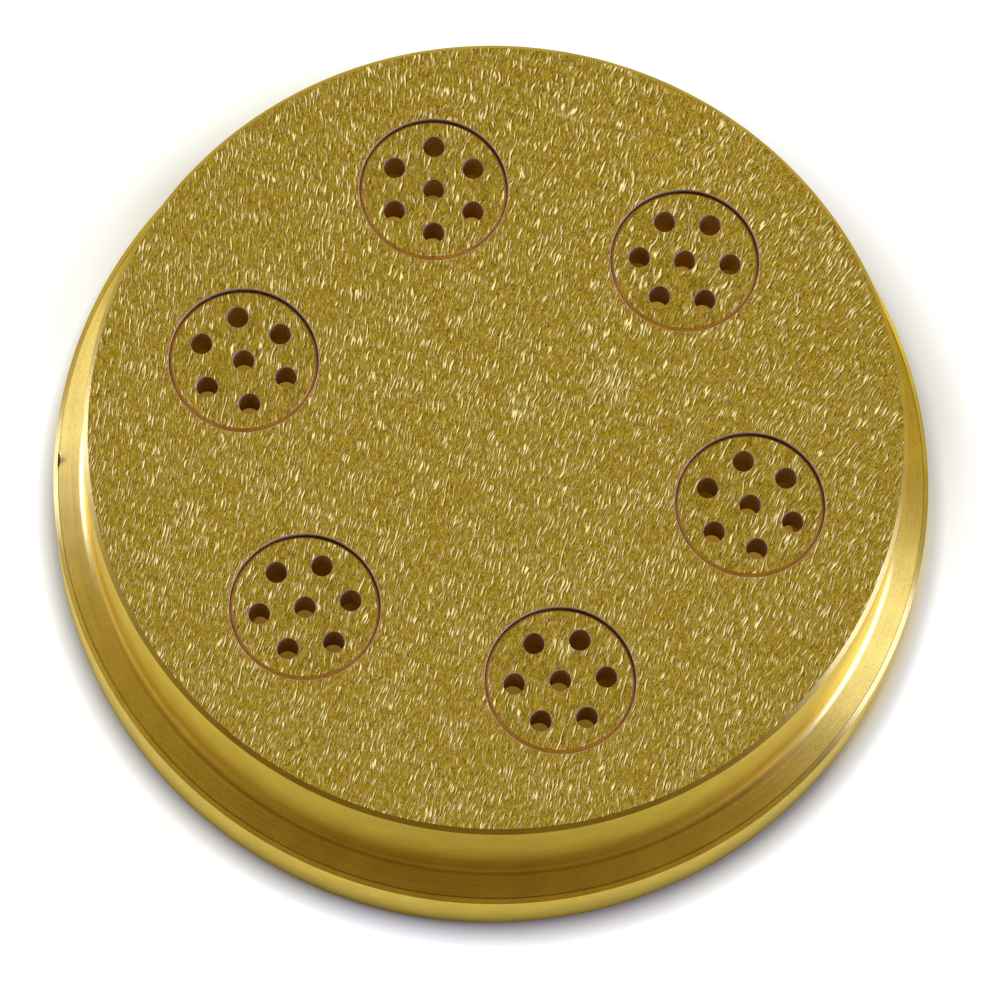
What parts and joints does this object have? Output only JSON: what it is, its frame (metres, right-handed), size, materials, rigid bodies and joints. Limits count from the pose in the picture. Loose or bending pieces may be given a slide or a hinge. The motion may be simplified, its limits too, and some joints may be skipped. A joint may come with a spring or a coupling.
{
  "type": "pasta extrusion die",
  "caption": "Round brass die for extruding spaghetti, with a back flange, a sloped clamping shoulder and stepped inserts pierced by rings of strand holes.",
  "frame": {"origin": "on the axis of the disc, at the level of the back rim on which the die rests", "axes": "+Z along the axis towards the exit face, +X through the middle of the first insert"},
  "size_m": [0.078, 0.078, 0.021],
  "materials": {
    "body_brass": "satin",
    "insert_brass": "satin"
  },
  "bodies": {
    "root": {"die_body": "body_brass", "insert_1": "insert_brass", "insert_2": "insert_brass", "insert_3": "insert_brass", "insert_4": "insert_brass", "insert_5": "insert_brass", "insert_6": "insert_brass"}
  },
  "joints": []
}
